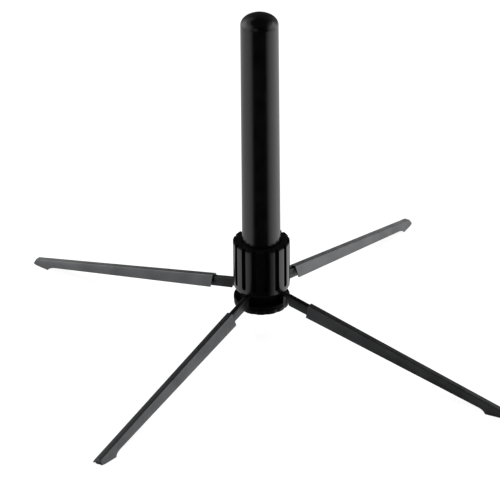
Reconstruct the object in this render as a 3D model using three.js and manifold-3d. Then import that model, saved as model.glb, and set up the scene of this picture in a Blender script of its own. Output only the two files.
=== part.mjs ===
// Trumpet stand: a tall peg for the bell on a round hub with four folding channel legs.
// To pack it away the fluted collar nut is unscrewed, the peg comes off, the legs fold up
// and the hollow peg goes over them.
// Units are millimetres. The floor is z = 0, the peg stands on the Z axis, and leg 1 lies along +X.

import * as THREE from 'three';
import { mergeVertices } from 'three/addons/utils/BufferGeometryUtils.js';
import Module from 'manifold-3d';

const wasm = await Module();
wasm.setup();

// ---- Driving dimensions ----
const GAP = 0.3; // clearance between neighbouring pieces
const ROUND_STEPS = 48; // facets round the axis of the large turned pieces

const LEG_COUNT = 4;
const LEG_TIP_R = 218; // nose of a foot, measured from the axis
const LEG_SLOPE = 0.2201; // fall of a leg's top line per millimetre outwards
const LEG_TOP_AT_AXIS = 52.0; // height at which the top line meets the axis
const LEG_UNDER_SLOPE = 0.1962; // fall of the sleeve's lower edges
const LEG_UNDER_AT_AXIS = 42.0;
const EDGE_LIFT = 0.1; // how far a trimming outline stays outside the edge it leaves alone

const SLEEVE_START_R = 44;
const SLEEVE_WALL = 0.9;
const SLEEVE_TOP_HALF = 2.3;
const SLEEVE_FOOT_HALF = [6.0, 5.2]; // half width over the lower edges, at the hub end and at the tip
const SHOULDER = 0.5; // chamfer along the bend of a channel

const ARM_END_R = 100;
const ARM_DROP = 1.3; // arm's top line below the sleeve's
const ARM_HALF = 2.05;
const ARM_WALL = 0.9;
const ARM_SHOULDER = [0.9, 1.6]; // flat half width on top, and depth of the bend
const ARM_UNDER_DROP = 0.4; // arm's lower edges below the sleeve's
const TONGUE = { endR: 26, depth: 2.7 }; // near the hub the arm's sides are cut back to a tongue
const REST = { startR: 13.2, endR: 21.2, half: 2.0 }; // raised rests on the base disc, under the tongues

const PIVOT_R = 8.2;
const PIVOT_Z = 44.45;
const PIN_R = 1.4;
const PIN_HALF = 5.5;
const SLOT_HALF = ARM_HALF + GAP;
const CORE_HALF = 3.6; // the crown's middle, left between the four slots

const RIVET_RS = { inner: 58, outer: 88 }; // the two rivets of a leg, along its length
const RIVET_HEAD = { radius: 1.2, height: 0.7, sunk: 0.05, tailR: 0.95, tailHeight: 0.6 };
const RIVET_SHANK_R = 0.7;

const FOOT_LIFT = 0.4; // the sleeve's lobes stay this far above the floor, the pad touches it
const LOBE = { startR: 196.5, stepR: 201, heelR: 202.3, flatEndR: 212.5, riseR: 216.5, noseLift: 1.0 };
const NOSE = { cornerR: 1.4, slant: 0.9, brow: 0.8 }; // plan corners, lean of the face, bend on top
const NOSE_CUT = { startR: 215.4, half: 2.9, top: 2.2 };
const PAD = { startR: 203.4, flatEndR: 212, riseR: 216, noseLift: 0.8, half: 3.4, shoulder: [2.4, 2.0] };

const DISC = { bottom: 31.0, top: 35.2, radius: 21.6, recess: 2.0, recessR: 17.2 };
const SCALLOP = { radius: 5, depth: 0.45 }; // shallow grip hollows round the disc's rim
const KEEPER = { play: 0.15, drop: 0.4 }; // the disc's keys that hold the pivot pins up
const CROWN = { bottom: DISC.top + GAP, flangeTop: 38.2, top: 75.9, rootR: 16.1, crestR: 16.9 };
const THREAD = { start: 53, pitch: 6, turns: 4, land: 0.5, flank: 0.8 };
const SCREW = { circleR: 12, shankR: 1.4, headR: 2.6, headHeight: 1.5, top: 50 };

const COLLAR = { bottom: 46.52, top: 85.8, radius: 21.7, rimR: 21.0, boreR: 17.3, shoulder: 80.8 };
const COLLAR_EDGE = { rim: 1.5, drop: 0.8, chamfer: 0.6, threadDepth: 0.7 };
const RIDGES = 15;
const RIDGE_TURN = 18.7; // angle of the first ridge's middle, degrees
const FLUTE = { half: 1.85, depth: 2.6, bottom: 51 };

const POST = { bottom: 76.2, top: 265.0, footR: 14.7, headR: 14.2, wall: 1.0 };
const FLANGE = { top: 79.4, radius: 16.9 }; // the post's foot, held under the collar's shoulder
const CAP = { shoulder: 266.2, apex: 274.7, flatR: 3 }; // half an ellipsoid with a small flat on top
const SPIGOT = { radius: 12.8, bottom: 262, wall: 1.5, roof: 2 };
const WASHER = { bottom: 79.7, top: 80.5, inner: 15.1, outer: 16.8 };

// ---- Materials ----
const paint = (color, roughness, metalness) =>
  new THREE.MeshStandardMaterial({ color, roughness, metalness });
const MATERIALS = {
  post: () => paint(0x17171a, 0.45, 0.0),
  cap: () => paint(0x121214, 0.5, 0.0),
  collar: () => paint(0x0c0c0e, 0.25, 0.0),
  hub: () => paint(0x101012, 0.4, 0.0),
  washer: () => paint(0xd8d6cc, 0.5, 0.0),
  sleeve: () => paint(0x55575a, 0.4, 0.6),
  arm: () => paint(0x2b2c2e, 0.45, 0.6),
  steel: () => paint(0x8f9296, 0.3, 1.0),
  rubber: () => paint(0x1b1b1c, 0.9, 0.0),
};

// ---- Geometry helpers ----

// Merge a geometry's vertices, drop its empty triangles and turn its faces outwards.
function closed(geometry) {
  const bare = geometry.clone();
  bare.deleteAttribute('normal');
  bare.deleteAttribute('uv');
  const merged = mergeVertices(bare, 1e-5);
  const index = merged.index.array;
  const kept = [];
  for (let i = 0; i < index.length; i += 3) {
    const [a, b, c] = [index[i], index[i + 1], index[i + 2]];
    if (a !== b && b !== c && c !== a) kept.push(a, b, c);
  }
  merged.setIndex(volumeOf(merged.attributes.position, kept) < 0 ? kept.reverse() : kept);
  return merged;
}

function volumeOf(position, index) {
  const [a, b, c] = [new THREE.Vector3(), new THREE.Vector3(), new THREE.Vector3()];
  let volume = 0;
  for (let i = 0; i < index.length; i += 3) {
    a.fromBufferAttribute(position, index[i]);
    b.fromBufferAttribute(position, index[i + 1]);
    c.fromBufferAttribute(position, index[i + 2]);
    volume += a.dot(b.cross(c)) / 6;
  }
  return volume;
}

function solidOf(geometry) {
  const ready = closed(geometry);
  return new wasm.Manifold(new wasm.Mesh({
    numProp: 3,
    vertProperties: new Float32Array(ready.attributes.position.array),
    triVerts: new Uint32Array(ready.index.array),
  }));
}

function geometryOf(solid) {
  const mesh = solid.getMesh();
  const geometry = new THREE.BufferGeometry();
  geometry.setAttribute('position', new THREE.BufferAttribute(mesh.vertProperties, 3));
  geometry.setIndex(new THREE.BufferAttribute(mesh.triVerts, 1));
  return geometry;
}

const join = (first, ...rest) => rest.reduce((sum, solid) => sum.add(solid), first);
const cut = (first, ...rest) => rest.reduce((left, solid) => left.subtract(solid), first);

// A solid of revolution about Z from [radius, height] pairs.
function turned(profile, steps = ROUND_STEPS) {
  const points = profile.map(([r, z]) => new THREE.Vector2(r, z));
  return solidOf(new THREE.LatheGeometry(points, steps).rotateX(Math.PI / 2));
}

// A ring's profile ends where it starts.
const ring = (profile, steps) => turned([...profile, profile[0]], steps);

function box(x0, x1, y0, y1, z0, z1) {
  const geometry = new THREE.BoxGeometry(x1 - x0, y1 - y0, z1 - z0);
  return solidOf(geometry.translate((x0 + x1) / 2, (y0 + y1) / 2, (z0 + z1) / 2));
}

// A cylinder across a leg that lies along +X.
function crossPin(radius, half, x, z) {
  return solidOf(new THREE.CylinderGeometry(radius, radius, 2 * half, 16).translate(x, 0, z));
}

function uprightPin(radius, z0, z1, x = 0, y = 0) {
  const geometry = new THREE.CylinderGeometry(radius, radius, z1 - z0, 16).rotateX(Math.PI / 2);
  return solidOf(geometry.translate(x, y, (z0 + z1) / 2));
}

// A bar along +X whose section changes with the distance r from the axis. corners(r) gives the
// [y, z] corners of one side, from the top down; the other side mirrors them.
function taperedBar(r0, r1, corners) {
  const count = corners(r0).length;
  const outline = new THREE.Shape();
  const turn = (i) => (Math.PI * (i + 0.5)) / count;
  for (let i = 0; i < 2 * count; i += 1) {
    outline[i === 0 ? 'moveTo' : 'lineTo'](Math.sin(turn(i)), Math.cos(turn(i)));
  }
  const geometry = new THREE.ExtrudeGeometry(outline, { depth: 1, bevelEnabled: false });
  const place = geometry.attributes.position;
  for (let i = 0; i < place.count; i += 1) {
    const around = Math.atan2(place.getX(i), place.getY(i));
    const corner = Math.round((Math.abs(around) * count) / Math.PI - 0.5);
    const r = r0 + (r1 - r0) * place.getZ(i);
    const [y, z] = corners(r)[corner];
    place.setXYZ(i, r, Math.sign(around) * y, z);
  }
  return solidOf(geometry);
}

// Copies of a solid round the Z axis.
function around(count, startDegrees, make) {
  return Array.from({ length: count }, (_, i) => {
    const turn = startDegrees + (i * 360) / count;
    return make().rotate([0, 0, turn]);
  });
}

// ---- Lines of a leg ----
const legTop = (r) => LEG_TOP_AT_AXIS - LEG_SLOPE * r;
const legUnder = (r) => LEG_UNDER_AT_AXIS - LEG_UNDER_SLOPE * r;
const legTilt = Math.atan(LEG_SLOPE);

function alongSleeve([first, last], r) {
  return first + ((last - first) * (r - SLEEVE_START_R)) / (LEG_TIP_R - SLEEVE_START_R);
}

// Half width of the flared sleeve at a depth below its top line.
function flare(r, depth) {
  const spread = alongSleeve(SLEEVE_FOOT_HALF, r) - SLEEVE_TOP_HALF;
  return SLEEVE_TOP_HALF + (spread * depth) / (legTop(r) - legUnder(r));
}

// Half width of the foot's side plates at a height above the floor.
const footHalf = (r, z) => flare(r, legTop(r) - z);

// ---- Leg pieces, each made for a leg along +X ----

// A turned piece that stands square on the leg's top line at r; heights in its profile are negative
// below that line.
function acrossWebs(profile, r) {
  const tilted = turned(profile, 12).rotate([0, (legTilt * 180) / Math.PI, 0]);
  return tilted.translate([r, 0, legTop(r)]);
}

function webHole(radius, top, bottom, r) {
  return acrossWebs([[0, bottom], [radius, bottom], [radius, top], [0, top]], r);
}

function sleeve() {
  const lowHalf = (r) => flare(r, legTop(r) - legUnder(r));
  const shell = taperedBar(SLEEVE_START_R, LEG_TIP_R, (r) => [
    [SLEEVE_TOP_HALF - SHOULDER, legTop(r)],
    [flare(r, SHOULDER), legTop(r) - SHOULDER],
    [lowHalf(r), legUnder(r)],
  ]);
  const lobes = taperedBar(LOBE.startR, LEG_TIP_R, (r) => {
    const middle = Math.max(legUnder(r), FOOT_LIFT + EDGE_LIFT);
    return [
      [SLEEVE_TOP_HALF, legTop(r) - SHOULDER],
      [footHalf(r, middle), middle],
      [footHalf(r, FOOT_LIFT), FOOT_LIFT],
    ];
  });
  const blank = join(shell, lobes).intersect(noseOutline()).intersect(footOutline());
  const mouth = box(NOSE_CUT.startR - 1, LEG_TIP_R + 1, -NOSE_CUT.half, NOSE_CUT.half, -1, NOSE_CUT.top);
  const holes = Object.values(RIVET_RS).map((r) => (
    webHole(RIVET_HEAD.radius + GAP, 1, -SLEEVE_WALL - 0.5, r)
  ));
  return cut(blank, sleeveHollow(), footHollow(), mouth, ...holes);
}

function sleeveHollow() {
  return taperedBar(SLEEVE_START_R - 1, NOSE_CUT.startR, (r) => [
    [flare(r, SLEEVE_WALL) - SLEEVE_WALL, legTop(r) - SLEEVE_WALL],
    [alongSleeve(SLEEVE_FOOT_HALF, r) - SLEEVE_WALL, legUnder(r)],
    [alongSleeve(SLEEVE_FOOT_HALF, r) - SLEEVE_WALL, legUnder(r) - 1],
  ]);
}

function footHollow() {
  return taperedBar(LOBE.startR, NOSE_CUT.startR, (r) => [
    [flare(r, SLEEVE_WALL) - SLEEVE_WALL - EDGE_LIFT, legTop(r) - SLEEVE_WALL - EDGE_LIFT],
    [footHalf(r, 0) - SLEEVE_WALL, 0],
  ]);
}

// Plan of the sleeve: straight sides and a square nose with rounded corners.
function noseOutline() {
  const half = 8;
  const bendR = LEG_TIP_R - NOSE.cornerR;
  const cornerY = footHalf(bendR, FOOT_LIFT) - NOSE.cornerR;
  const plan = new THREE.Shape();
  plan.moveTo(SLEEVE_START_R, -half);
  plan.lineTo(bendR - 2, -half);
  plan.absarc(bendR, -cornerY, NOSE.cornerR, -Math.PI / 2, 0);
  plan.absarc(bendR, cornerY, NOSE.cornerR, 0, Math.PI / 2);
  plan.lineTo(bendR - 2, half);
  plan.lineTo(SLEEVE_START_R, half);
  const options = { depth: 60, bevelEnabled: false, curveSegments: 5 };
  return solidOf(new THREE.ExtrudeGeometry(plan, options).translate(0, 0, -5));
}

// A block that runs right across a leg, from its side view in (distance from the axis, height).
function acrossLeg(side) {
  const half = 8;
  const options = { depth: 2 * half, bevelEnabled: false, curveSegments: 5 };
  return solidOf(new THREE.ExtrudeGeometry(side, options).rotateX(Math.PI / 2).translate(0, half, 0));
}

// Side view of the sleeve: the lower edge curves down to the foot, whose underside is level and
// then rises a little to the nose, whose face leans back.
function footOutline() {
  const { startR, stepR, heelR, flatEndR, riseR, noseLift } = LOBE;
  const faceTop = LEG_TIP_R - NOSE.slant;
  const brow = faceTop - NOSE.brow;
  const above = 60;
  const side = new THREE.Shape();
  side.moveTo(SLEEVE_START_R, legUnder(SLEEVE_START_R) - EDGE_LIFT);
  side.lineTo(startR, legUnder(startR) - EDGE_LIFT);
  side.quadraticCurveTo(stepR, legUnder(stepR) - 3 * EDGE_LIFT, heelR, FOOT_LIFT);
  side.lineTo(flatEndR, FOOT_LIFT);
  side.quadraticCurveTo(riseR, FOOT_LIFT, LEG_TIP_R, noseLift);
  side.lineTo(faceTop, legTop(faceTop) - NOSE.brow);
  side.quadraticCurveTo(faceTop, legTop(faceTop), brow, legTop(brow));
  side.lineTo(brow, above);
  side.lineTo(SLEEVE_START_R, above);
  return acrossLeg(side);
}

const armTop = (r) => legTop(r) - ARM_DROP;

function arm() {
  const [flat, bend] = ARM_SHOULDER;
  const bar = (r0, r1, lowerEdge) => taperedBar(r0, r1, (r) => [
    [flat, armTop(r)],
    [ARM_HALF, armTop(r) - bend],
    [ARM_HALF, lowerEdge(r)],
  ]);
  const tongue = bar(PIVOT_R, TONGUE.endR + 1, (r) => armTop(r) - TONGUE.depth);
  const body = bar(TONGUE.endR, ARM_END_R, (r) => legUnder(r) - ARM_UNDER_DROP);
  const earR = (armTop(PIVOT_R) - PIVOT_Z) * Math.cos(legTilt);
  const ear = crossPin(earR, ARM_HALF, PIVOT_R, PIVOT_Z);
  const inside = ARM_HALF - ARM_WALL;
  const channel = taperedBar(1, ARM_END_R + 1, (r) => [
    [inside, armTop(r) - ARM_WALL],
    [inside, legUnder(r) - 5],
  ]);
  const eye = crossPin(PIN_R + GAP, 2 * ARM_HALF, PIVOT_R, PIVOT_Z);
  const holes = Object.values(RIVET_RS).map((r) => webHole(RIVET_SHANK_R + GAP, 0, -4, r));
  return cut(join(tongue, body, ear), channel, eye, ...holes);
}

function rivet(r) {
  const { radius, height, sunk, tailR, tailHeight } = RIVET_HEAD;
  const tail = -(ARM_DROP + ARM_WALL + GAP);
  const end = tail - tailHeight;
  return acrossWebs([
    [0, end], [tailR, end], [tailR, tail], [RIVET_SHANK_R, tail],
    [RIVET_SHANK_R, -height], [radius, -height], [radius, -sunk], [0, -sunk],
  ], r);
}

function footPad() {
  const top = NOSE_CUT.top - GAP;
  const heel = taperedBar(PAD.startR, NOSE_CUT.startR - GAP, (r) => [
    [flare(r, SLEEVE_WALL) - SLEEVE_WALL - GAP, legTop(r) - SLEEVE_WALL - GAP],
    PAD.shoulder,
    [PAD.half, 0],
  ]);
  const throatHalf = 2.0;
  const throat = box(NOSE_CUT.startR - 1.2, NOSE_CUT.startR, -throatHalf, throatHalf, 0, top);
  const whole = join(heel, throat, padNose(top));
  return whole.intersect(padOutline());
}

// The part of the pad that shows under the nose of the foot.
function padNose(height) {
  const half = NOSE_CUT.half - GAP;
  const bend = 1.6;
  const bendR = LEG_TIP_R - bend - 0.2;
  const startR = NOSE_CUT.startR - 0.8;
  const plan = new THREE.Shape();
  plan.moveTo(startR, -half);
  plan.lineTo(bendR, -half);
  plan.absellipse(bendR, 0, bend, half, -Math.PI / 2, Math.PI / 2);
  plan.lineTo(startR, half);
  return solidOf(new THREE.ExtrudeGeometry(plan, { depth: height, bevelEnabled: false, curveSegments: 5 }));
}

// Side view of the pad: a level sole that rises to the nose.
function padOutline() {
  const { startR, flatEndR, riseR, noseLift } = PAD;
  const above = 12;
  const side = new THREE.Shape();
  side.moveTo(startR - 1, 0);
  side.lineTo(flatEndR, 0);
  side.quadraticCurveTo(riseR, 0, LEG_TIP_R, noseLift);
  side.lineTo(LEG_TIP_R, above);
  side.lineTo(startR - 1, above);
  return acrossLeg(side);
}

function pivotPin() {
  return crossPin(PIN_R, PIN_HALF, PIVOT_R, PIVOT_Z);
}

// ---- Hub pieces ----

function screwSpot(i) {
  const turn = Math.PI / 4 + (i * Math.PI) / 2;
  return [SCREW.circleR * Math.cos(turn), SCREW.circleR * Math.sin(turn)];
}

function baseDisc() {
  const { bottom, top, radius, recess, recessR } = DISC;
  const blank = turned([
    [0, bottom + recess], [recessR, bottom + recess], [recessR, bottom], [radius - 1.0, bottom],
    [radius - 0.5, bottom + 0.4], [radius - 0.1, bottom + 1.4], [radius, bottom + 2.4],
    [radius, top - 0.5], [radius - 0.4, top], [0, top],
  ]);
  const scallopR = radius + SCALLOP.radius - SCALLOP.depth;
  const scallops = around(RIDGES, RIDGE_TURN + 180 / RIDGES, () => (
    uprightPin(SCALLOP.radius, bottom - 1, top + 1, scallopR)
  ));
  const keepers = [1, -1].flatMap((side) => around(LEG_COUNT, 0, () => keeper(side)));
  const rests = around(LEG_COUNT, 0, tongueRest);
  const holes = around(LEG_COUNT, 45, () => uprightPin(SCREW.shankR + GAP, bottom, top + 1, SCREW.circleR));
  return cut(join(cut(blank, ...scallops), ...keepers, ...rests), ...holes);
}

// A key beside a leg's slot that reaches up under the pivot pin.
function keeper(side) {
  const half = PIN_R - KEEPER.play;
  const ends = [side * (SLOT_HALF + KEEPER.play), side * PIN_HALF].sort((a, b) => a - b);
  return box(PIVOT_R - half, PIVOT_R + half, ...ends, DISC.top - 1, PIVOT_Z - PIN_R - KEEPER.drop);
}

// A raised rest in a leg's slot, just under the arm's tongue.
function tongueRest() {
  return taperedBar(REST.startR, REST.endR, (r) => [
    [REST.half, armTop(r) - TONGUE.depth - GAP],
    [REST.half, DISC.top - 1],
  ]);
}

function hubCrown() {
  const { bottom, flangeTop, top, rootR, crestR } = CROWN;
  const flangeR = DISC.radius;
  const chamfer = 0.4;
  const profile = [
    [0, bottom], [flangeR, bottom], [flangeR, flangeTop - chamfer], [flangeR - chamfer, flangeTop],
    [rootR, flangeTop],
  ];
  for (let i = 0; i < THREAD.turns; i += 1) {
    const z = THREAD.start + i * THREAD.pitch;
    const foot = THREAD.land + THREAD.flank;
    profile.push([rootR, z - foot], [crestR, z - THREAD.land], [crestR, z + THREAD.land], [rootR, z + foot]);
  }
  profile.push([rootR, top - 1], [rootR - 1, top], [0, top]);
  const slots = around(LEG_COUNT, 0, () => box(CORE_HALF, 25, -SLOT_HALF, SLOT_HALF, bottom - 1, top + 1));
  const seatR = PIN_R + GAP;
  const seat = () => join(
    crossPin(seatR, PIN_HALF + GAP, PIVOT_R, PIVOT_Z),
    box(PIVOT_R - seatR, PIVOT_R + seatR, -PIN_HALF - GAP, PIN_HALF + GAP, bottom - 1, PIVOT_Z),
  );
  const holes = around(LEG_COUNT, 45, () => uprightPin(seatR, bottom - 1, SCREW.top + 1, SCREW.circleR));
  return cut(turned(profile), ...slots, ...around(LEG_COUNT, 0, seat), ...holes);
}

function baseScrew(i) {
  const [x, y] = screwSpot(i);
  const seat = DISC.bottom + DISC.recess - GAP;
  const head = uprightPin(SCREW.headR, seat - SCREW.headHeight, seat, x, y);
  return join(head, uprightPin(SCREW.shankR, seat - 0.5, SCREW.top, x, y));
}

// ---- Collar nut ----
function collarNut() {
  const { bottom, top, radius, rimR, boreR, shoulder } = COLLAR;
  const { rim, drop, chamfer, threadDepth } = COLLAR_EDGE;
  const neckR = POST.footR + 0.4;
  const profile = [
    [boreR, bottom + (rimR - boreR) * LEG_SLOPE], [rimR, bottom], [radius, bottom + rim],
    [radius, top - drop], [radius - chamfer, top], [neckR, top], [neckR, shoulder], [boreR, shoulder],
  ];
  const rootR = boreR + threadDepth;
  for (let i = THREAD.turns - 1; i >= 0; i -= 1) {
    const z = THREAD.start + i * THREAD.pitch;
    const foot = THREAD.land + THREAD.flank;
    profile.push([boreR, z + foot], [rootR, z + THREAD.land], [rootR, z - THREAD.land], [boreR, z - foot]);
  }
  const flutes = around(RIDGES, RIDGE_TURN + 180 / RIDGES, flute);
  return cut(ring(profile, 4 * RIDGES), ...flutes);
}

// A groove in the collar: open at the top, with a round lower end.
function flute() {
  const slot = new THREE.Shape();
  slot.moveTo(FLUTE.half, FLUTE.half);
  slot.lineTo(FLUTE.half, COLLAR.top);
  slot.lineTo(-FLUTE.half, COLLAR.top);
  slot.lineTo(-FLUTE.half, FLUTE.half);
  slot.absarc(0, FLUTE.half, FLUTE.half, Math.PI, 2 * Math.PI);
  const options = { depth: 4, bevelEnabled: false, curveSegments: 5 };
  const geometry = new THREE.ExtrudeGeometry(slot, options).rotateX(Math.PI / 2).rotateZ(Math.PI / 2);
  return solidOf(geometry.translate(COLLAR.radius - FLUTE.depth, 0, FLUTE.bottom));
}

// ---- Post pieces ----
function postTube() {
  const { bottom, top, footR, headR, wall } = POST;
  return ring([
    [footR - wall, bottom], [FLANGE.radius, bottom], [FLANGE.radius, FLANGE.top], [footR, FLANGE.top],
    [headR, top], [headR - wall, top],
  ]);
}

function postCap() {
  const { shoulder, apex, flatR } = CAP;
  const seat = POST.top + GAP;
  const inner = SPIGOT.radius - SPIGOT.wall;
  const profile = [
    [0, shoulder + SPIGOT.roof], [inner, shoulder + SPIGOT.roof], [inner, SPIGOT.bottom],
    [SPIGOT.radius, SPIGOT.bottom], [SPIGOT.radius, seat], [POST.headR, seat],
  ];
  const rise = (r) => Math.sqrt(1 - (r / POST.headR) ** 2);
  const steps = 9;
  for (let i = 0; i <= steps; i += 1) {
    const turn = (i / steps) * Math.acos(flatR / POST.headR);
    const r = POST.headR * Math.cos(turn);
    profile.push([r, shoulder + ((apex - shoulder) * rise(r)) / rise(flatR)]);
  }
  profile.push([0, apex]);
  return turned(profile);
}

function slipWasher() {
  const { bottom, top, inner, outer } = WASHER;
  return ring([[inner, bottom], [outer, bottom], [outer, top], [inner, top]]);
}

// ---- Assembly ----
const stand = new THREE.Group();

function add(parent, name, solid, material) {
  const mesh = new THREE.Mesh(geometryOf(solid), MATERIALS[material]());
  mesh.name = name;
  parent.add(mesh);
}

add(stand, 'post_tube', postTube(), 'post');
add(stand, 'post_cap', postCap(), 'cap');
add(stand, 'slip_washer', slipWasher(), 'washer');
add(stand, 'collar_nut', collarNut(), 'collar');
add(stand, 'hub_crown', hubCrown(), 'hub');
add(stand, 'base_disc', baseDisc(), 'hub');

for (let i = 0; i < LEG_COUNT; i += 1) {
  add(stand, `base_screw_${i + 1}`, baseScrew(i), 'steel');
  const leg = new THREE.Group();
  leg.rotation.z = (i * 2 * Math.PI) / LEG_COUNT;
  add(leg, `pivot_pin_${i + 1}`, pivotPin(), 'steel');
  add(leg, `leg_arm_${i + 1}`, arm(), 'arm');
  add(leg, `leg_sleeve_${i + 1}`, sleeve(), 'sleeve');
  add(leg, `inner_rivet_${i + 1}`, rivet(RIVET_RS.inner), 'steel');
  add(leg, `outer_rivet_${i + 1}`, rivet(RIVET_RS.outer), 'steel');
  add(leg, `foot_pad_${i + 1}`, footPad(), 'rubber');
  stand.add(leg);
}

export default stand;
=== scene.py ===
import math

import bmesh
import bpy
from mathutils import Matrix, Vector


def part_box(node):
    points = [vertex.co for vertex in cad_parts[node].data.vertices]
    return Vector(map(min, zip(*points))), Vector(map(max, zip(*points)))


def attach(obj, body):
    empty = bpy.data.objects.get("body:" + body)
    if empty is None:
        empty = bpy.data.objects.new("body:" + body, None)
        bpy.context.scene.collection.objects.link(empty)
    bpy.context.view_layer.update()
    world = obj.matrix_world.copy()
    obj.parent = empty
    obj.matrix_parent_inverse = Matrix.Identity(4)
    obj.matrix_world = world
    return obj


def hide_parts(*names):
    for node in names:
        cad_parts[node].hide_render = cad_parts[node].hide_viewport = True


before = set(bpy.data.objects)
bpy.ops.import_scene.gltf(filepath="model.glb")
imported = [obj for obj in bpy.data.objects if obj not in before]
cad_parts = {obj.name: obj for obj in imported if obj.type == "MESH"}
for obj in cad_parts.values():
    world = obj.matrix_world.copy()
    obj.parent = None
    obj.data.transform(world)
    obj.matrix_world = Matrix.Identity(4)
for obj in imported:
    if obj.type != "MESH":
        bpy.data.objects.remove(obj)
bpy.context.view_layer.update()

# Shapes are worked out in millimetres, in the CAD's own frame: floor at z = 0, post on the Z axis,
# leg 1 along +X. Meshes are written in metres.
MM = 0.001
LEGS = 4
GAP = 0.3  # between neighbouring pieces


def corners(node):
    """Lowest and highest corner of a CAD node, in millimetres."""
    low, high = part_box(node)
    return low / MM, high / MM


# ---- Sizes taken from the frame ----
POST_LOW, POST_HIGH = corners("post_tube")
CAP_LOW, CAP_HIGH = corners("post_cap")
WASHER_LOW, WASHER_HIGH = corners("slip_washer")
COLLAR_LOW, COLLAR_HIGH = corners("collar_nut")
CROWN_LOW, CROWN_HIGH = corners("hub_crown")
DISC_LOW, DISC_HIGH = corners("base_disc")
SLEEVE_LOW, SLEEVE_HIGH = corners("leg_sleeve_1")
ARM_LOW, ARM_HIGH = corners("leg_arm_1")
PAD_LOW, PAD_HIGH = corners("foot_pad_1")
PIN_LOW, PIN_HIGH = corners("pivot_pin_1")
SCREW_LOW, SCREW_HIGH = corners("base_screw_1")

# ---- Mesh helpers ----


def fillet(outline, close=True):
    """Rounds an outline of (x, y, radius, steps) corners. The count of points never depends on the sizes,
    so outlines made from like corners can be skinned."""
    points = []
    count = len(outline)
    for i, (x, y, radius, steps) in enumerate(outline):
        here = Vector((x, y))
        ends = not close and i in (0, count - 1)
        if steps == 0 or ends:
            points.append(here)
            continue
        before = Vector(outline[i - 1][:2]) - here
        after = Vector(outline[(i + 1) % count][:2]) - here
        half = before.angle(after, math.pi) / 2
        reach = radius / max(math.tan(half), 1e-6)
        reach = min(reach, 0.45 * before.length, 0.45 * after.length)
        start = here + before.normalized() * reach
        finish = here + after.normalized() * reach
        for k in range(steps + 1):
            t = k / steps
            points.append(start.lerp(here, t).lerp(here.lerp(finish, t), t))
    return points


def piece(name, bm, body, nodes, material, smooth=35):
    """A bmesh as a piece of the stand that stands for CAD nodes. Edges over smooth degrees are sharp."""
    mesh = to_mesh(bm, name)
    mesh.shade_smooth()
    mesh.set_sharp_from_angle(angle=math.radians(smooth))
    mesh.materials.clear()
    mesh.materials.append(material)
    made = bpy.data.objects.new(name, mesh)
    bpy.context.scene.collection.objects.link(made)
    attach(made, body)
    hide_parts(*nodes)
    return made


def skin(rings, loop=False, cap_start=False, cap_end=False):
    """A bmesh over closed rings of millimetre points, with a UV map in metres: u along, v around."""
    bm = bmesh.new()
    rows = [[bm.verts.new(Vector(p) * MM) for p in ring] for ring in rings]
    uv = bm.loops.layers.uv.new("UVMap")
    count = len(rings[0])
    along = [0.0]
    for first, second in zip(rings, rings[1:]):
        step = sum((Vector(a) - Vector(b)).length for a, b in zip(first, second)) / count
        along.append(along[-1] + step * MM)
    widest = max(rings, key=lambda ring: sum(Vector(p).length for p in ring))
    around = [0.0]
    for k in range(count):
        around.append(around[-1] + (Vector(widest[k]) - Vector(widest[(k + 1) % count])).length * MM)
    last = len(rows) if loop else len(rows) - 1
    for i in range(last):
        j = (i + 1) % len(rows)
        u0, u1 = along[i], along[j] if j else along[i] + MM
        for k in range(count):
            m = (k + 1) % count
            face = bm.faces.new((rows[i][k], rows[i][m], rows[j][m], rows[j][k]))
            places = ((u0, around[k]), (u0, around[k + 1]), (u1, around[k + 1]), (u1, around[k]))
            for corner, place in zip(face.loops, places):
                corner[uv].uv = place
    if cap_start:
        bm.faces.new(list(reversed(rows[0])))
    if cap_end:
        bm.faces.new(rows[-1])
    bmesh.ops.remove_doubles(bm, verts=bm.verts, dist=1e-7)
    bmesh.ops.recalc_face_normals(bm, faces=bm.faces)
    return bm


def to_mesh(bm, name):
    mesh = bpy.data.meshes.new(name)
    bm.to_mesh(mesh)
    bm.free()
    return mesh


def turned(profile, angles=128, warp=None, loop=True):
    """A solid of revolution from (radius, height) points. warp(r, z, angle) may move each point.
    A profile that isn't a loop starts and ends on the axis."""
    if isinstance(angles, int):
        angles = [2 * math.pi * k / angles for k in range(angles)]
    rings = []
    for r, z in profile:
        ring = []
        for a in angles:
            radius, height = warp(r, z, a) if warp else (r, z)
            ring.append((radius * math.cos(a), radius * math.sin(a), height))
        rings.append(ring)
    return skin(rings, loop=loop)


def rod(radius, low, high, sides):
    return turned([(0, low), (radius, low), (radius, high), (0, high)], sides, loop=False)


def cut(bm, cutter, how="DIFFERENCE"):
    """Cuts one bmesh with another, or joins them, and returns the result."""
    solids = []
    for part in (bm, cutter):
        solids.append(bpy.data.objects.new("work", to_mesh(part, "work")))
        bpy.context.scene.collection.objects.link(solids[-1])
    blank, tool = solids
    modifier = blank.modifiers.new("cut", "BOOLEAN")
    modifier.operation = how
    modifier.solver = "EXACT"
    modifier.object = tool
    result = bmesh.new()
    graph = bpy.context.evaluated_depsgraph_get()
    result.from_mesh(blank.evaluated_get(graph).to_mesh())
    for solid in solids:
        data = solid.data
        bpy.data.objects.remove(solid)
        bpy.data.meshes.remove(data)
    return result


def block(low, high):
    bm = bmesh.new()
    bmesh.ops.create_cube(bm, size=1)
    low, high = Vector(low) * MM, Vector(high) * MM
    placed = Matrix.Translation((low + high) / 2) @ Matrix.Diagonal((*(high - low), 1))
    bmesh.ops.transform(bm, matrix=placed, verts=bm.verts)
    return bm


def turn(bm, angle, axis):
    bmesh.ops.rotate(bm, verts=bm.verts, cent=(0, 0, 0), matrix=Matrix.Rotation(angle, 3, axis))
    return bm


def turn_about_z(bm, degrees):
    return turn(bm, math.radians(degrees), "Z")


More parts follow.
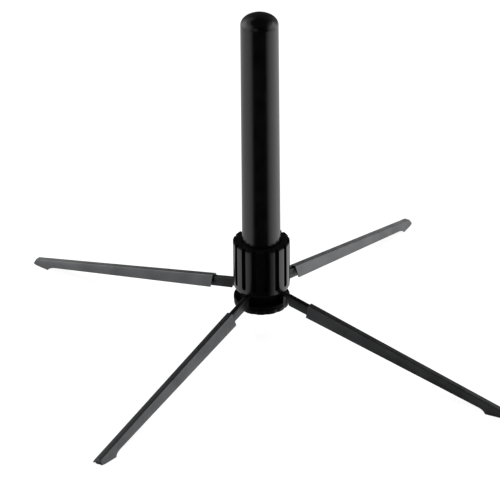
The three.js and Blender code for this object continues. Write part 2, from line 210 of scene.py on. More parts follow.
def move(bm, offset):
    bmesh.ops.translate(bm, verts=bm.verts, vec=Vector(offset) * MM)
    return bm


def smoothstep(low, high, x):
    t = min(1.0, max(0.0, (x - low) / (high - low)))
    return t * t * (3 - 2 * t)


def curve_height(x, start, pull, end):
    """Height at x of the quadratic curve from start to end, drawn towards pull. All are (x, height)."""
    a = start[0] - 2 * pull[0] + end[0]
    b = 2 * (pull[0] - start[0])
    c = start[0] - x
    t = -c / b if abs(a) < 1e-9 else (-b + math.sqrt(max(0.0, b * b - 4 * a * c))) / (2 * a)
    t = min(1.0, max(0.0, t))
    return (1 - t) ** 2 * start[1] + 2 * t * (1 - t) * pull[1] + t * t * end[1]


# ---- Materials ----


class Shader:
    """A Principled material and short calls for the nodes that feed it."""

    def __init__(self, name):
        self.material = bpy.data.materials.new(name)
        self.material.use_nodes = True
        self.tree = self.material.node_tree
        self.bsdf = self.tree.nodes["Principled BSDF"]
        self.place = self.tree.nodes.new("ShaderNodeTexCoord")

    def set(self, **values):
        for key, value in values.items():
            self.bsdf.inputs[key.replace("_", " ")].default_value = value

    def link(self, out, key):
        self.tree.links.new(out, self.bsdf.inputs[key])

    def scaled(self, scale, source="Object"):
        """Texture coordinates in metres, stretched by a scale for each axis."""
        node = self.tree.nodes.new("ShaderNodeMapping")
        node.inputs["Scale"].default_value = scale
        self.tree.links.new(self.place.outputs[source], node.inputs["Vector"])
        return node.outputs["Vector"]

    def noise(self, scale, detail=3.0, roughness=0.5, source="Object", stretch=(1, 1, 1)):
        node = self.tree.nodes.new("ShaderNodeTexNoise")
        node.inputs["Scale"].default_value = scale
        node.inputs["Detail"].default_value = detail
        node.inputs["Roughness"].default_value = roughness
        self.tree.links.new(self.scaled(stretch, source), node.inputs["Vector"])
        return node.outputs["Fac"]

    def ramp(self, source, stops):
        """A colour ramp from (position, colour) stops."""
        node = self.tree.nodes.new("ShaderNodeValToRGB")
        ramp = node.color_ramp
        while len(ramp.elements) < len(stops):
            ramp.elements.new(0.5)
        for element, (position, colour) in zip(ramp.elements, stops):
            element.position = position
            element.color = (*colour, 1) if len(colour) == 3 else colour
        self.tree.links.new(source, node.inputs["Fac"])
        return node.outputs["Color"]

    def range(self, source, low, high, start=0.3, finish=0.7):
        """A value from low to high as the source goes from start to finish."""
        node = self.tree.nodes.new("ShaderNodeMapRange")
        node.inputs["From Min"].default_value = start
        node.inputs["From Max"].default_value = finish
        node.inputs["To Min"].default_value = low
        node.inputs["To Max"].default_value = high
        self.tree.links.new(source, node.inputs["Value"])
        return node.outputs["Result"]

    def mix(self, factor, first, second):
        node = self.tree.nodes.new("ShaderNodeMix")
        node.data_type = "RGBA"
        for key, value in (("Factor", factor), ("A", first), ("B", second)):
            socket = next(s for s in node.inputs if s.name == key and s.enabled)
            if isinstance(value, tuple):
                socket.default_value = (*value, 1)
            else:
                self.tree.links.new(value, socket)
        return next(s for s in node.outputs if s.enabled)

    def bump(self, height, distance, strength=1.0, under=None):
        """Bump from a height in 0..1 that stands for a distance in millimetres."""
        node = self.tree.nodes.new("ShaderNodeBump")
        node.inputs["Strength"].default_value = strength
        node.inputs["Distance"].default_value = distance * MM
        self.tree.links.new(height, node.inputs["Height"])
        if under is not None:
            self.tree.links.new(under, node.inputs["Normal"])
        return node.outputs["Normal"]


def moulded_plastic(name, dark, light, rough, shine=0.5):
    """Black moulded plastic: faint mottling, hazy patches, fine skin texture and long flow lines."""
    s = Shader(name)
    mottle = s.noise(90, detail=4)
    s.link(s.ramp(mottle, [(0.35, dark), (0.7, light)]), "Base Color")
    haze = s.noise(38, detail=5, roughness=0.62)
    s.link(s.range(haze, rough[0], rough[1], 0.35, 0.7), "Roughness")
    skin_height = s.noise(2600, detail=2)
    flow = s.noise(160, detail=2, stretch=(1, 1, 0.12))
    s.link(s.bump(skin_height, 0.004, under=s.bump(flow, 0.02)), "Normal")
    s.set(IOR=1.5, Specular_IOR_Level=shine)
    return s.material


def coated_steel(name, dark, light, rough, metallic):
    """Satin coating on folded steel: fine orange peel, faint drawing lines along the leg, rubbed spots."""
    s = Shader(name)
    cloud = s.noise(55, detail=4)
    tone = s.ramp(cloud, [(0.3, dark), (0.72, light)])
    lines = s.noise(900, detail=2, source="UV", stretch=(0.03, 1, 1))
    rubbed = s.range(s.noise(420, detail=5, roughness=0.7), 0.0, 0.5, 0.66, 0.78)
    s.link(s.mix(rubbed, tone, tuple(min(1.0, 1.6 * c) for c in light)), "Base Color")
    haze = s.noise(70, detail=4, roughness=0.6)
    s.link(s.range(haze, rough[0], rough[1], 0.35, 0.68), "Roughness")
    peel = s.noise(1500, detail=2)
    s.link(s.bump(peel, 0.006, under=s.bump(lines, 0.004)), "Normal")
    s.set(Metallic=metallic, IOR=1.5)
    return s.material


def bright_steel(name):
    """Zinc-plated steel: cloudy plating and fine turning marks."""
    s = Shader(name)
    cloud = s.noise(260, detail=4)
    s.link(s.ramp(cloud, [(0.3, (0.30, 0.31, 0.33)), (0.7, (0.5, 0.5, 0.49))]), "Base Color")
    s.link(s.range(s.noise(500, detail=3), 0.25, 0.42, 0.3, 0.7), "Roughness")
    marks = s.noise(2200, detail=2, stretch=(1, 1, 0.2))
    s.link(s.bump(marks, 0.003), "Normal")
    s.set(Metallic=1.0)
    return s.material


def black_rubber(name):
    """Matt rubber: pale bloom in the hollows and a fine grain."""
    s = Shader(name)
    bloom = s.noise(240, detail=5, roughness=0.65)
    s.link(s.ramp(bloom, [(0.35, (0.010, 0.010, 0.011)), (0.75, (0.030, 0.029, 0.028))]), "Base Color")
    s.link(s.range(s.noise(130, detail=3), 0.72, 0.9, 0.3, 0.7), "Roughness")
    grain = s.noise(3200, detail=3)
    s.link(s.bump(grain, 0.02), "Normal")
    s.set(IOR=1.5, Specular_IOR_Level=0.35)
    return s.material


def pale_acetal(name):
    s = Shader(name)
    cloud = s.noise(120, detail=3)
    s.link(s.ramp(cloud, [(0.3, (0.55, 0.54, 0.5)), (0.7, (0.64, 0.63, 0.59))]), "Base Color")
    s.link(s.range(s.noise(300), 0.38, 0.52, 0.3, 0.7), "Roughness")
    s.link(s.bump(s.noise(1800, detail=2), 0.004), "Normal")
    s.set(Subsurface_Weight=0.15, Subsurface_Scale=0.002)
    return s.material


POST_PLASTIC = moulded_plastic(
    "post_plastic", (0.0022, 0.0022, 0.0025), (0.0045, 0.0045, 0.005), (0.17, 0.25))
FINISH = {
    "post": POST_PLASTIC,
    "cap": POST_PLASTIC,
    "collar": moulded_plastic(
        "collar_plastic", (0.0015, 0.0015, 0.0018), (0.003, 0.003, 0.0034), (0.13, 0.22)),
    # Darker, duller plastic for the flutes and the collar's top edge band: painted shade in the grooves and
    # on the rim
    "flute": moulded_plastic(
        "flute_painted_shade_plastic", (0.001, 0.001, 0.0011), (0.002, 0.002, 0.0022), (0.5, 0.65), shine=0.12),
    # Hub crown plastic, darker and almost without gloss: painted shade under the collar
    "crown": moulded_plastic(
        "crown_painted_shade_plastic", (0.0012, 0.0012, 0.0013), (0.0025, 0.0025, 0.0027), (0.45, 0.6), shine=0.04),
    "hub": moulded_plastic(
        "hub_plastic", (0.0012, 0.0012, 0.0013), (0.0026, 0.0026, 0.0028), (0.35, 0.48), shine=0.1),
    "sleeve": coated_steel(
        "sleeve_coating", (0.09, 0.092, 0.096), (0.124, 0.126, 0.129), (0.3, 0.42), metallic=1.0),
    # The arm takes the sleeve's coating made much darker: painted shade on the neck near the hub and under
    # the sleeve
    "arm": coated_steel(
        "arm_coating_painted_shade", (0.02, 0.0205, 0.0218), (0.034, 0.035, 0.0362), (0.32, 0.45), metallic=1.0),
    "steel": bright_steel("zinc_plating"),
    "rubber": black_rubber("foot_rubber"),
    "washer": pale_acetal("washer_acetal"),
}

# ---- Post ----
POST_SIDES = 160
POST_FOOT_R = 14.7
POST_WALL = 1.0
POST_FLANGE_TOP = WASHER_LOW.z - GAP
CAP_SHOULDER = CAP_HIGH.z - 8.5
CAP_SEAM = 0.06
CAP_ROOF_RISE = 2.0  # height of the hollow's roof over the shoulder
DOME_STEPS = 40
SPIGOT_R, SPIGOT_WALL = 12.8, 1.5
WASHER_BORE = 15.1


def post_tube():
    low, top = POST_LOW.z, POST_HIGH.z
    head_r = CAP_HIGH.x
    flange_r = POST_HIGH.x
    profile = fillet([
        (POST_FOOT_R - POST_WALL, low, 0.3, 3), (flange_r, low, 0.4, 4),
        (flange_r, POST_FLANGE_TOP, 0.4, 4), (POST_FOOT_R, POST_FLANGE_TOP, 0.3, 3),
        (head_r, top, 0, 0), (head_r - POST_WALL, top, 0.2, 2),
    ])
    piece("peg_tube", turned(profile, POST_SIDES), "post", ["post_tube"], FINISH["post"])


def cap_dome(r):
    return CAP_SHOULDER + (CAP_HIGH.z - CAP_SHOULDER) * math.sqrt(max(0.0, 1 - (r / CAP_HIGH.x) ** 2))


def post_cap():
    head_r = CAP_HIGH.x
    seat, roof, bore = POST_HIGH.z + CAP_SEAM, CAP_SHOULDER + CAP_ROOF_RISE, SPIGOT_R - SPIGOT_WALL
    inside = fillet([
        (0, roof, 0, 0), (bore, roof, 1.2, 4), (bore, CAP_LOW.z, 0.3, 3), (SPIGOT_R, CAP_LOW.z, 0.5, 3),
        (SPIGOT_R, seat, 0.2, 2), (head_r, seat, 0, 0), (head_r, CAP_SHOULDER, 0, 0),
    ], close=False)
    dome = []
    for k in range(1, DOME_STEPS + 1):
        r = head_r * math.cos(k / DOME_STEPS * math.pi / 2)
        dome.append((r, cap_dome(r)))
    dome[-1] = (0, CAP_HIGH.z)
    profile = inside + dome
    cap = turned(profile, POST_SIDES, loop=False)
    piece("peg_cap", cap, "post", ["post_cap"], FINISH["cap"])


def slip_washer():
    inner, outer = WASHER_BORE, WASHER_HIGH.x
    profile = fillet([(r, z, 0.15, 2) for r, z in (
        (inner, WASHER_LOW.z), (outer, WASHER_LOW.z), (outer, WASHER_HIGH.z), (inner, WASHER_HIGH.z))])
    piece("peg_washer", turned(profile, 120), "post", ["slip_washer"], FINISH["washer"])


# ---- Collar nut ----
RIDGES = 15
RIDGE_TURN = math.radians(18.7)
FLUTE_HALF = 1.85
FLUTE_DEPTH = 2.6
FLUTE_BOTTOM = 51.0
FLUTE_WALL = 0.4
FLUTE_HOLLOW = 0.1  # share of the depth that is the hollow of the groove's floor
COLLAR_BORE = 17.3
COLLAR_RIM = 21.0
COLLAR_SHOULDER = COLLAR_HIGH.z - 5.0
THREAD_PITCH = 3.0
THREAD_LOW, THREAD_HIGH = 50.0, 73.0
THREAD_STEP = 0.25
COLLAR_THREAD_RISE = 0.7
COLLAR_PLAY = 0.4  # round the post
SHADED_RIM = 0.9  # height of the band at the top edge that takes the darker flute plastic, painted shade
ARM_SLOPE = 0.2201


def thread_heights():
    length = THREAD_HIGH - THREAD_LOW
    steps = int(length / THREAD_STEP)
    return [THREAD_LOW + length * k / steps for k in range(steps + 1)]


def thread(z, angle, rise):
    """Radial rise of a screw thread at a height and angle, fading out at both ends."""
    phase = ((z - THREAD_PITCH * angle / (2 * math.pi)) / THREAD_PITCH) % 1.0
    ridge = smoothstep(0.08, 0.34, phase) - smoothstep(0.58, 0.84, phase)
    ends = smoothstep(THREAD_LOW, THREAD_LOW + 1.5, z) * (1 - smoothstep(THREAD_HIGH - 1.5, THREAD_HIGH, z))
    return rise * ridge * ends


def collar_angles():
    """Angles round the collar, close together at the walls of each flute."""
    wall = math.degrees(FLUTE_HALF / COLLAR_HIGH.x)
    ramp = math.degrees(FLUTE_WALL / COLLAR_HIGH.x)
    inner = [0.0, 0.3 * wall, 0.6 * wall]
    inner += [wall - ramp * t for t in (1.15, 1.0, 0.8, 0.6, 0.4, 0.2, 0.08, 0.0)]
    outer = [wall + 0.12, wall + 0.9, wall + 2.2, wall + 4.2]
    half = [x for x in inner + outer if x < 180 / RIDGES]
    offsets = sorted([-x for x in half if x > 0] + half)
    middle = math.degrees(RIDGE_TURN) + 180 / RIDGES
    return [math.radians(middle + 360 / RIDGES * k + x) for k in range(RIDGES) for x in offsets]


def flute_depth(z, angle):
    pitch = 2 * math.pi / RIDGES
    offset = (angle - RIDGE_TURN) % pitch - pitch / 2
    x = COLLAR_HIGH.x * offset
    if z < FLUTE_BOTTOM + FLUTE_HALF:
        inside = FLUTE_HALF - math.hypot(x, z - FLUTE_BOTTOM - FLUTE_HALF)
    else:
        inside = FLUTE_HALF - abs(x)
    inside = max(0.0, inside)
    wall = 1 - (1 - min(1.0, inside / FLUTE_WALL)) ** 2
    hollow = 1 - (1 - inside / FLUTE_HALF) ** 2
    return FLUTE_DEPTH * ((1 - FLUTE_HOLLOW) * wall + FLUTE_HOLLOW * hollow)


def collar_warp(r, z, angle):
    if r > COLLAR_BORE + 1.5:
        return min(r, COLLAR_HIGH.x - flute_depth(z, angle)), z
    if THREAD_LOW < z < THREAD_HIGH:
        return r + thread(z, angle, COLLAR_THREAD_RISE), z
    return r, z


def collar_nut():
    radius, low, top = COLLAR_HIGH.x, COLLAR_LOW.z, COLLAR_HIGH.z
    rim_inner = low + (COLLAR_RIM - COLLAR_BORE) * ARM_SLOPE
    neck = POST_FOOT_R + COLLAR_PLAY
    grooves = FLUTE_BOTTOM - 0.6  # height at which the close rings begin, just below the flutes
    edge = fillet([
        (COLLAR_BORE, rim_inner + 4, 0, 0), (COLLAR_BORE, rim_inner, 0.3, 3), (COLLAR_RIM, low, 0.25, 3),
        (radius, low + 1.5, 0.5, 4), (radius, grooves, 0, 0),
    ], close=False)
    walls = [(radius, grooves + 0.2 * k) for k in range(1, 20)]
    walls += [(radius, z) for z in range(56, 85, 4)]
    crown = fillet([
        (radius, top - 2.0, 0, 0), (radius, top - 0.7, 0.35, 3), (radius - 0.7, top, 0.25, 3),
        (COLLAR_HIGH.x - FLUTE_DEPTH - 0.3, top, 0, 0), (neck, top, 0.4, 4),
        (neck, COLLAR_SHOULDER, 0.3, 3), (COLLAR_BORE, COLLAR_SHOULDER, 0.4, 3),
        (COLLAR_BORE, THREAD_HIGH + 0.5, 0, 0),
    ], close=False)
    bore = [(COLLAR_BORE, z) for z in reversed(thread_heights())]
    profile = edge + walls + crown + bore[:-1]
    collar = turned(profile[1:], collar_angles(), collar_warp)
    mesh = piece("grip_collar", collar, "collar", ["collar_nut"], FINISH["collar"], 40).data
    # Faces in the flutes and in the top edge band take the darker flute plastic, painted shade
    mesh.materials.append(FINISH["flute"])
    for face in mesh.polygons:
        x, y, z = face.center / MM
        angle = math.atan2(y, x)
        grooved = flute_depth(z, angle) > 0.05 and COLLAR_BORE + 1 < math.hypot(x, y)
        face.material_index = int(grooved or z > COLLAR_HIGH.z - SHADED_RIM)


# ---- Hub ----
SLOT_HALF = 2.35
CORE_HALF = 3.6
PIN_R = PIN_HIGH.z / 2 - PIN_LOW.z / 2
PIVOT_R = (PIN_LOW.x + PIN_HIGH.x) / 2
PIVOT_Z = (PIN_LOW.z + PIN_HIGH.z) / 2
CROWN_ROOT = 16.1
CROWN_FLANGE_TOP = 38.2
SCREW_CIRCLE = 12.0
DISC_TOP = CROWN_LOW.z - GAP
KEEPER_TOP = PIVOT_Z - PIN_R - 0.4
SCALLOP_R = 5.0
SCALLOP_DEPTH = 0.45
DISC_RECESS = 2.0
DISC_RECESS_R = 17.2
SCREW_HOLE_R = 1.7
SCREW_HEAD_R, SCREW_PITCH, SCREW_ROOT, SCREW_CREST = 2.6, 1.25, 1.1, 1.4
KEEPER_END = 5.5
REST_START, REST_END = 17.2, 21.2  # clear of the round ear of the arm
REST_HALF = 2.0
CROWN_CREST = 16.9


def hub_crown():
    low, top = CROWN_LOW.z, CROWN_HIGH.z
    flange_r = DISC_HIGH.x
    body = fillet([
        (0, low, 0, 0), (flange_r, low, 0.5, 4), (flange_r, CROWN_FLANGE_TOP, 0.7, 5),
        (CROWN_ROOT, CROWN_FLANGE_TOP, 0.8, 4), (CROWN_ROOT, THREAD_LOW - 0.3, 0, 0),
    ], close=False)
    turns = [(CROWN_ROOT, z) for z in thread_heights()]
    head = fillet([(CROWN_ROOT, top - 1.6, 0, 0), (CROWN_ROOT, top, 1.0, 5), (0, top, 0, 0)], close=False)
    profile = body + turns + head

    def warp(r, z, angle):
        if r > CROWN_ROOT - 0.01 and THREAD_LOW < z < THREAD_HIGH:
            return r + thread(z, angle, CROWN_CREST - CROWN_ROOT), z
        return r, z

    crown = turned(profile, 144, warp, loop=False)
    seat = PIN_R + 0.3
    cutters = []
    for k in range(LEGS):
        slot = block((CORE_HALF, -SLOT_HALF, low - 1), (25, SLOT_HALF, top + 1))
        groove = block((PIVOT_R - seat, -5.8, low - 1.5), (PIVOT_R + seat, 5.8, PIVOT_Z))
        cutters.append([turn_about_z(slot, 90 * k), turn_about_z(groove, 90 * k)])
    for pair in cutters:
        for tool in pair:
            crown = cut(crown, tool)
    soften(crown, 0.25)
    piece("hub_crown_part", crown, "hub", ["hub_crown"], FINISH["crown"], 30)


def soften(bm, width, sharp=55):
    """Bevels the long hard edges of a cut solid."""
    edges = [e for e in bm.edges if len(e.link_faces) == 2 and e.calc_face_angle(0) > math.radians(sharp)]
    bmesh.ops.bevel(bm, geom=edges, offset=width * MM, segments=2, profile=0.5, affect="EDGES",
                    clamp_overlap=True)


def disc_scallop(angle):
    """Depth of the shallow grip hollows round the disc's rim."""
    pitch = 2 * math.pi / RIDGES
    x = DISC_HIGH.x * ((angle - RIDGE_TURN) % pitch - pitch / 2)
    return max(0.0, SCALLOP_DEPTH - SCALLOP_R + math.sqrt(max(0.0, SCALLOP_R ** 2 - x ** 2)))


def rest_section(r):
    top, foot = leg_top(r) - ARM_DROP - TONGUE_DEPTH - GAP, DISC_TOP - 1
    return fillet([
        (-REST_HALF, foot, 0, 0), (REST_HALF, foot, 0, 0),
        (REST_HALF, top, 0.3, 3), (-REST_HALF, top, 0.3, 3)])


def base_disc():
    low, top, radius = DISC_LOW.z, DISC_TOP, DISC_HIGH.x
    recess_top = low + DISC_RECESS
    profile = fillet([
        (0, recess_top, 0, 0), (DISC_RECESS_R, recess_top, 0.8, 4), (DISC_RECESS_R, low, 0.4, 4),
        (radius - 0.4, low, 1.4, 8), (radius, low + 2.6, 1.2, 4), (radius, top, 0.6, 5), (0, top, 0, 0),
    ], close=False)

    def warp(r, z, angle):
        return r - disc_scallop(angle) * smoothstep(radius - 3.2, radius - 1.2, r), z

    disc = turned(profile, 240, warp, loop=False)
    for k in range(LEGS):
        hole = rod(SCREW_HOLE_R, low - 1, top + 1, 32)
        disc = cut(disc, turn_about_z(move(hole, (SCREW_CIRCLE, 0, 0)), 45 + 90 * k))
    half = PIN_R - 0.15
    for k in range(LEGS):
        for y0, y1 in ((SLOT_HALF + 0.15, KEEPER_END), (-KEEPER_END, -SLOT_HALF - 0.15)):
            key = block((PIVOT_R - half, y0, top - 1), (PIVOT_R + half, y1, KEEPER_TOP))
            disc = cut(disc, turn_about_z(key, 90 * k), "UNION")
        rest = leg_skin(rest_section, [REST_START, REST_END])
        disc = cut(disc, turn_about_z(rest, 90 * k), "UNION")
    piece("hub_disc", disc, "hub", ["base_disc"], FINISH["hub"], 30)


def base_screws():
    """Pan-head screws with a cross recess and a threaded shank."""
    seat, head_low, top = DISC_LOW.z + DISC_RECESS - GAP, SCREW_LOW.z, SCREW_HIGH.z
    head_r, pitch, root, crest = SCREW_HEAD_R, SCREW_PITCH, SCREW_ROOT, SCREW_CREST
    start = seat + 3.0
    head = fillet([
        (0, head_low, 0, 0), (head_r - 0.3, head_low, 1.1, 6), (head_r, seat, 0.2, 3),
        (root + 0.1, seat, 0, 0),
    ], close=False)
    shank = [(root, start - 2.0 + 0.2 * k) for k in range(int((top - start + 1.0) / 0.2))]
    profile = head + shank + [(0.4, top - 0.2), (0, top)]

    def warp(r, z, angle):
        if abs(r - root) > 0.01:
            return r, z
        phase = ((z - pitch * angle / (2 * math.pi)) / pitch) % 1.0
        ridge = smoothstep(0.2, 0.45, phase) - smoothstep(0.55, 0.8, phase)
        fade = smoothstep(start - 1.5, start, z) * (1 - smoothstep(top - 2.5, top - 1.0, z))
        return r + (crest - root) * ridge * fade, z

    for k in range(LEGS):
        screw = turned(profile, 36, warp, loop=False)
        for size in ((1.5, 0.3), (0.3, 1.5)):
            slot = block((-size[0], -size[1], head_low - 1), (size[0], size[1], head_low + 0.8))
            screw = cut(screw, turn_about_z(slot, 20 + 30 * k))
        move(screw, (SCREW_CIRCLE, 0, 0))
        turn_about_z(screw, 45 + 90 * k)
        piece(f"disc_screw_{k + 1}", screw, "hub", [f"base_screw_{k + 1}"], FINISH["steel"], 35)


def pivot_pins():
    half = PIN_HIGH.y
    profile = fillet([
        (0, -half, 0, 0), (PIN_R, -half, 0.3, 3), (PIN_R, half, 0.3, 3), (0, half, 0, 0)], close=False)
    for k in range(LEGS):
        pin = turned(profile, 40, loop=False)
        turn(pin, math.pi / 2, "X")
        turn_about_z(move(pin, (PIVOT_R, 0, PIVOT_Z)), 90 * k)
        piece(f"hinge_pin_{k + 1}", pin, "hub", [f"pivot_pin_{k + 1}"], FINISH["steel"])


# ---- Legs ----
LEG_TOP_AT_AXIS = 52.0
LEG_UNDER_AT_AXIS = 42.0
LEG_UNDER_SLOPE = 0.1962
LEG_TILT = math.atan(ARM_SLOPE)
SLEEVE_TOP_HALF = 2.3
SLEEVE_LOW_HALF = (6.0, 5.2)
SHEET = 0.9
BEND = 1.1
FOOT_LIFT = 0.4
LOBE_START, LOBE_STEP, HEEL = 196.5, 201.0, 202.3
FOOT_FLAT_END, FOOT_RISE, NOSE_LIFT = 212.5, 216.5, 1.0
NOSE_CORNER_R = 1.4
NOSE_SLANT = 0.9  # lean of the nose's face
NOSE_BROW = 0.8  # bend over the nose
NOSE_START = 215.4
NOSE_TIP = 217.96
MOUTH_HALF, MOUTH_TOP = 2.9, 2.2
ARM_DROP = 1.3
ARM_HALF = 2.05
TONGUE_END = 26.0
TONGUE_DEPTH = 2.7
EYE_R = 1.7
RIVET_AT = {"inner": 58.0, "outer": 88.0}
RIVET_HOLE_R = 1.35
PAD_FLAT_END = 212.0
PAD_HALF = 3.4
PAD_SHOULDER = (2.4, 2.0)
PAD_NOSE_HALF, PAD_NOSE_BEND = 2.55, 1.6
PAD_NOSE_LIFT = 0.8
GROOVE = {"first": 204.6, "pitch": 1.9, "count": 4, "width": 0.7, "depth": 0.35}


def leg_top(r):
    return LEG_TOP_AT_AXIS - ARM_SLOPE * r


def leg_under(r):
    return LEG_UNDER_AT_AXIS - LEG_UNDER_SLOPE * r


def along_sleeve(r):
    return (r - SLEEVE_LOW.x) / (SLEEVE_HIGH.x - SLEEVE_LOW.x)


def flare(r, depth):
    """Half width of the sleeve at a depth below its top line."""
    near, far = SLEEVE_LOW_HALF
    low_half = near + (far - near) * along_sleeve(r)
    return SLEEVE_TOP_HALF + (low_half - SLEEVE_TOP_HALF) * depth / (leg_top(r) - leg_under(r))


def channel(top, top_half, low, low_half, wall, bend, roof=None, roof_half=None, low_inner=None):
    """Section of an inverted folded channel as (y, z) points, with round bends and hems."""
    roof = top - wall if roof is None else roof
    roof_half = top_half - 0.6 * wall if roof_half is None else roof_half
    low_inner = low_half - wall if low_inner is None else low_inner
    inside = max(0.2, bend - wall)
    hem = 0.22
    right = [
        (top_half, top, bend, 6), (low_half, low, hem, 3), (low_inner, low, hem, 3),
        (roof_half, roof, inside, 4),
    ]
    left = [(-y, z, radius, steps) for y, z, radius, steps in reversed(right)]
    return fillet(right + left)


def nose_half(r):
    """Half width of the foot in plan: as flared as its plates, with rounded corners at the nose."""
    bend_r = SLEEVE_HIGH.x - NOSE_CORNER_R
    if r <= bend_r:
        return math.inf
    across = math.sqrt(max(0.0, NOSE_CORNER_R ** 2 - (r - bend_r) ** 2))
    return flare(bend_r, leg_top(bend_r) - FOOT_LIFT) - NOSE_CORNER_R + across


def foot_low(r):
    """Lower edge of the sleeve: along the leg, down a curved step to the foot, then up under the nose."""
    if r < LOBE_START:
        return leg_under(r)
    if r < HEEL:
        step = (LOBE_STEP, leg_under(LOBE_STEP) - 0.3)
        return curve_height(r, (LOBE_START, leg_under(LOBE_START)), step, (HEEL, FOOT_LIFT))
    nose = (SLEEVE_HIGH.x, NOSE_LIFT)
    return curve_height(max(r, FOOT_FLAT_END), (FOOT_FLAT_END, FOOT_LIFT), (FOOT_RISE, FOOT_LIFT), nose)


def foot_top(r):
    """Top of the sleeve, bent over the nose and then straight down the nose's leaning face."""
    tip = SLEEVE_HIGH.x
    face = tip - NOSE_SLANT
    brow, face_top = face - NOSE_BROW, leg_top(face) - NOSE_BROW
    if r < brow:
        return leg_top(r)
    if r < face:
        return curve_height(r, (brow, leg_top(brow)), (face, leg_top(face)), (face, face_top))
    return face_top + (NOSE_LIFT - face_top) * (r - face) / (tip - face)


def sleeve_section(r):
    top, low = foot_top(r), foot_low(r)
    top_half = min(flare(r, leg_top(r) - top), nose_half(r))
    low_half = min(flare(r, leg_top(r) - low), nose_half(r))
    if r < NOSE_START:
        return channel(top, top_half, low, low_half, SHEET, BEND)
    inner = MOUTH_HALF - 0.2
    return channel(top, top_half, low, low_half, SHEET, BEND, low + 0.04, inner - 0.1, inner)


def stations(*stretches):
    """Distances from the axis: each stretch is (start, end, steps)."""
    return [a + (b - a) * k / n for a, b, n in stretches for k in range(n)]


def leg_skin(section, distances):
    rings = [[(r, p.x, p.y) for p in section(r)] for r in distances]
    return skin(rings, cap_start=True, cap_end=True)


def leg_piece(name, bm, k, node, material, smooth=32):
    """A piece of leg k, which stands for the CAD node of the same number."""
    piece(f"{name}_{k + 1}", bm, f"leg_{k + 1}", [f"{node}_{k + 1}"], material, smooth)


def rivet_cutter(r, radius, top, bottom):
    tool = rod(radius, bottom, top, 32)
    turn(tool, LEG_TILT, "Y")
    return move(tool, (r, 0, leg_top(r)))


def leg_sleeve(k):
    distances = stations(
        (SLEEVE_LOW.x, LOBE_START, 14), (LOBE_START, 200, 6), (200, HEEL, 10), (HEEL, FOOT_FLAT_END, 8),
        (FOOT_FLAT_END, 215.3, 4), (215.3, NOSE_START, 1), (NOSE_START, 216.3, 3), (216.3, 217.1, 6),
        (217.1, NOSE_TIP, 8))
    bm = leg_skin(sleeve_section, distances + [NOSE_TIP])
    bm = cut(bm, block((NOSE_START - 1, -MOUTH_HALF, -1), (SLEEVE_HIGH.x + 1, MOUTH_HALF, MOUTH_TOP)))
    for r in RIVET_AT.values():
        bm = cut(bm, rivet_cutter(r, RIVET_HOLE_R, 1, -SHEET - 0.5))
    turn_about_z(bm, 90 * k)
    leg_piece("leg_channel", bm, k, "leg_sleeve", FINISH["sleeve"])


def arm_section(r):
    """Folded arm, open below: a round ear at the pivot, a shallow tongue, then full depth."""
    ear = (leg_top(PIVOT_R) - ARM_DROP - PIVOT_Z) * math.cos(LEG_TILT)
    top = leg_top(r) - ARM_DROP
    tongue_low = top - TONGUE_DEPTH
    step = smoothstep(TONGUE_END - 0.6, TONGUE_END + 0.2, r)
    low = tongue_low + (leg_under(r) - 0.4 - tongue_low) * step
    if r < PIVOT_R + ear:
        across = math.sqrt(max(0.01, ear ** 2 - (r - PIVOT_R) ** 2))
        low = PIVOT_Z - across if r < PIVOT_R else min(low, PIVOT_Z - across)
        if r < PIVOT_R + ear * math.sin(LEG_TILT):
            top = PIVOT_Z + across
    half = ARM_HALF
    return channel(top, half, low, half, 0.9, 1.1, roof=max(top - 0.9, low + 0.3))


def leg_arm(k):
    start, ear_end = ARM_LOW.x + 0.02, PIVOT_R + 4.3
    distances = stations(
        (start, start + 1.0, 5), (start + 1.0, 9.2, 8), (9.2, ear_end, 6), (ear_end, 25.3, 3),
        (25.3, 26.3, 8), (26.3, ARM_HIGH.x, 10))
    bm = leg_skin(arm_section, distances + [ARM_HIGH.x])
    eye = rod(EYE_R, -6, 6, 40)
    turn(eye, math.pi / 2, "X")
    bm = cut(bm, move(eye, (PIVOT_R, 0, PIVOT_Z)))
    turn_about_z(bm, 90 * k)
    leg_piece("leg_neck", bm, k, "leg_arm", FINISH["arm"])


def leg_rivets(k):
    """Rivets with a flat head sunk in the sleeve, a shank, and a small head inside the arm."""
    tail = -(ARM_DROP + SHEET + GAP)
    profile = fillet([
        (0, tail - 0.6, 0, 0), (0.95, tail - 0.6, 0.3, 3), (0.95, tail, 0.1, 2), (0.7, tail, 0, 0),
        (0.7, -0.7, 0, 0), (1.2, -0.7, 0.1, 2), (1.2, -0.05, 0.2, 3), (0.5, 0.0, 0.3, 2), (0, 0.0, 0, 0),
    ], close=False)
    for which, r in RIVET_AT.items():
        bm = turned(profile, 28, loop=False)
        turn(bm, LEG_TILT, "Y")
        turn_about_z(move(bm, (r, 0, leg_top(r))), 90 * k)
        leg_piece(f"{which}_leg_rivet", bm, k, f"{which}_rivet", FINISH["sleeve"], 35)


def pad_section(r):
    low = PAD_NOSE_LIFT * (max(0.0, r - PAD_FLAT_END) / (SLEEVE_HIGH.x - PAD_FLAT_END)) ** 2
    if r < NOSE_START - 0.3:
        roof_half = flare(r, SHEET) - SHEET - 0.3
        top = leg_top(r) - SHEET - 0.35
        half, (shoulder_half, shoulder) = PAD_HALF, PAD_SHOULDER
    else:
        bend_r = PAD_HIGH.x - PAD_NOSE_BEND
        tip = max(0.0, r - bend_r) / PAD_NOSE_BEND
        half = PAD_NOSE_HALF * math.sqrt(max(0.01, 1 - tip ** 2))
        top = MOUTH_TOP - 0.3
        roof_half, shoulder_half, shoulder = half - 0.05, half, top - 0.3
    outline = [(half, low, 0.35, 3), (shoulder_half, shoulder, 0.2, 2), (roof_half, top, 0.3, 3)]
    mirrored = [(-y, z, radius, steps) for y, z, radius, steps in reversed(outline)]
    return fillet(outline + mirrored)


